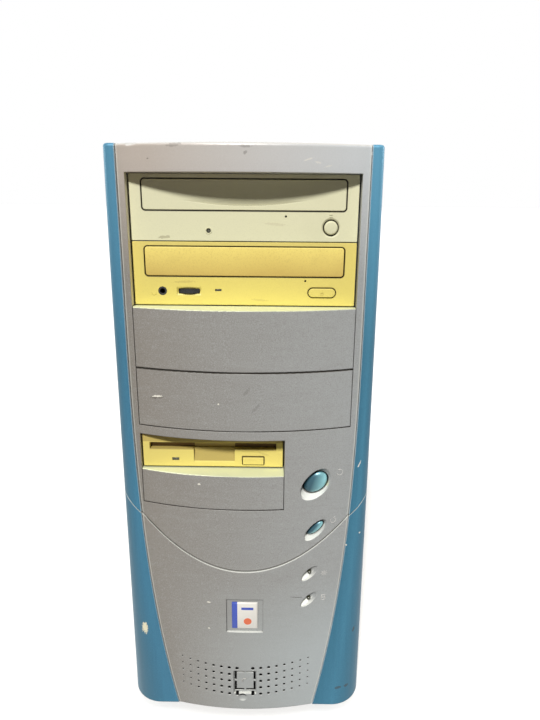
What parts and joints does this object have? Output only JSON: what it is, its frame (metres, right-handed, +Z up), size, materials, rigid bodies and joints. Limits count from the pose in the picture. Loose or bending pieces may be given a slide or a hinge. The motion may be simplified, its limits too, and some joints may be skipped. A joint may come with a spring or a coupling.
{
  "type": "tower computer",
  "caption": "Upright computer case with a bowed front, sliding disc trays, a floppy drive, push buttons, removable side panels, turning fans and the boards inside.",
  "frame": {"origin": "on the floor under the middle of the machine", "axes": "+Z up, the front looks towards -Y, +X to the right as seen from the front"},
  "size_m": [0.186, 0.44, 0.4326],
  "materials": {
    "silver_plastic": "sprayed silver-grey plastic",
    "blue_plastic": "sprayed pale blue plastic",
    "teal_plastic": "polished teal plastic",
    "beige_plastic": "moulded beige plastic",
    "yellowed_plastic": "beige plastic yellowed by light",
    "tray_plastic": "dark moulded plastic",
    "lamp_plastic": "clear tinted plastic",
    "badge_plastic": "printed foil on plastic",
    "black_plastic": "moulded black plastic",
    "bare_steel": "zinc-plated sheet steel",
    "painted_steel": "powder-coated silver-grey steel",
    "screw_steel": "nickel-plated steel",
    "cast_aluminium": "bare aluminium",
    "circuit_board": "green solder mask",
    "port_plastic": "connector shells",
    "foot_rubber": "moulded rubber"
  },
  "bodies": {
    "chassis": {"upper_fascia": "silver_plastic", "lower_fascia": "silver_plastic", "upper_left_trim": "blue_plastic", "upper_right_trim": "blue_plastic", "lower_left_trim": "blue_plastic", "lower_right_trim": "blue_plastic", "upper_bay_blank": "silver_plastic", "lower_bay_blank": "silver_plastic", "floppy_bay_blank": "silver_plastic", "front_switches": "black_plastic", "indicator_leds": "lamp_plastic", "badge_plate": "badge_plastic", "cd_case": "bare_steel", "cd_bezel": "beige_plastic", "dvd_case": "bare_steel", "dvd_bezel": "yellowed_plastic", "headphone_jack": "black_plastic", "floppy_case": "bare_steel", "floppy_bezel": "yellowed_plastic", "drive_leds": "lamp_plastic", "chassis_floor": "bare_steel", "chassis_front": "bare_steel", "chassis_rear": "bare_steel", "chassis_top": "bare_steel", "large_drive_cage": "bare_steel", "small_drive_cage": "bare_steel", "drive_screws": "screw_steel", "board_tray": "bare_steel", "feet": "foot_rubber", "hard_drive": "cast_aluminium", "motherboard": "circuit_board", "board_standoffs": "screw_steel", "rear_ports": "port_plastic", "port_shield": "bare_steel", "memory_modules": "circuit_board", "graphics_card": "circuit_board", "slot_covers": "bare_steel", "cpu_heatsink": "cast_aluminium", "cpu_fan_frame": "black_plastic", "power_supply_case": "bare_steel", "power_supply_fan_frame": "black_plastic", "mains_inlet": "black_plastic"},
    "cd_tray": {"cd_tray": "tray_plastic", "cd_tray_door": "beige_plastic"},
    "dvd_tray": {"dvd_tray": "tray_plastic", "dvd_tray_door": "yellowed_plastic"},
    "cd_eject_button": {"cd_eject_button": "beige_plastic"},
    "dvd_eject_button": {"dvd_eject_button": "yellowed_plastic"},
    "floppy_eject_button": {"floppy_eject_button": "yellowed_plastic"},
    "floppy_shutter": {"floppy_shutter": "yellowed_plastic"},
    "volume_wheel": {"volume_wheel": "black_plastic"},
    "power_button": {"power_button": "teal_plastic"},
    "reset_button": {"reset_button": "teal_plastic"},
    "left_panel": {"left_side_panel": "painted_steel", "left_panel_screws": "screw_steel"},
    "right_panel": {"right_side_panel": "painted_steel", "right_panel_screws": "screw_steel"},
    "power_supply_fan": {"power_supply_fan_rotor": "black_plastic"},
    "cpu_fan": {"cpu_fan_rotor": "black_plastic"},
    "mains_switch": {"mains_switch": "black_plastic"}
  },
  "joints": [
    {"name": "cd_tray_slide", "type": "slide", "parent": "chassis", "child": "cd_tray", "axis": [0, -1, 0], "range_m": [0, 0.125]},
    {"name": "dvd_tray_slide", "type": "slide", "parent": "chassis", "child": "dvd_tray", "axis": [0, -1, 0], "range_m": [0, 0.125]},
    {"name": "cd_eject_press", "type": "slide", "parent": "chassis", "child": "cd_eject_button", "axis": [0, 1, 0], "range_m": [0, 0.0012], "stiffness_N_per_m": 600, "springref_m": -0.0005},
    {"name": "dvd_eject_press", "type": "slide", "parent": "chassis", "child": "dvd_eject_button", "axis": [0, 1, 0], "range_m": [0, 0.0012], "stiffness_N_per_m": 600, "springref_m": -0.0005},
    {"name": "floppy_eject_slide", "type": "slide", "parent": "chassis", "child": "floppy_eject_button", "axis": [0, -1, 0], "range_m": [0, 0.0045]},
    {"name": "floppy_shutter_swing", "type": "hinge", "parent": "chassis", "child": "floppy_shutter", "pos_m": [-0.0232, -0.1992, 0.2315], "axis": [1, 0, 0], "range_deg": [0, 80], "stiffness_Nm_per_rad": 0.0004},
    {"name": "volume_turn", "type": "hinge", "parent": "chassis", "child": "volume_wheel", "pos_m": [-0.0373, -0.1902, 0.33965], "axis": [0, 0, 1], "range_deg": [-135, 135]},
    {"name": "power_press", "type": "slide", "parent": "chassis", "child": "power_button", "axis": [0, 1, 0], "range_m": [0, 0.002], "stiffness_N_per_m": 600, "springref_m": -0.0005},
    {"name": "reset_press", "type": "slide", "parent": "chassis", "child": "reset_button", "axis": [0, 1, 0], "range_m": [0, 0.0015], "stiffness_N_per_m": 600, "springref_m": -0.0005},
    {"name": "left_panel_slide", "type": "slide", "parent": "chassis", "child": "left_panel", "axis": [0, 1, 0], "range_m": [0, 0.4]},
    {"name": "right_panel_slide", "type": "slide", "parent": "chassis", "child": "right_panel", "axis": [0, 1, 0], "range_m": [0, 0.4]},
    {"name": "power_supply_fan_spin", "type": "hinge", "parent": "chassis", "child": "power_supply_fan", "pos_m": [0.028, 0.1983, 0.3837], "axis": [0, 1, 0], "continuous": true},
    {"name": "cpu_fan_spin", "type": "hinge", "parent": "chassis", "child": "cpu_fan", "pos_m": [0.0214, 0.115, 0.2467], "axis": [1, 0, 0], "continuous": true},
    {"name": "mains_rocker", "type": "hinge", "parent": "chassis", "child": "mains_switch", "pos_m": [-0.048, 0.208, 0.3697], "axis": [0, 0, -1], "range_deg": [0, 16]}
  ]
}
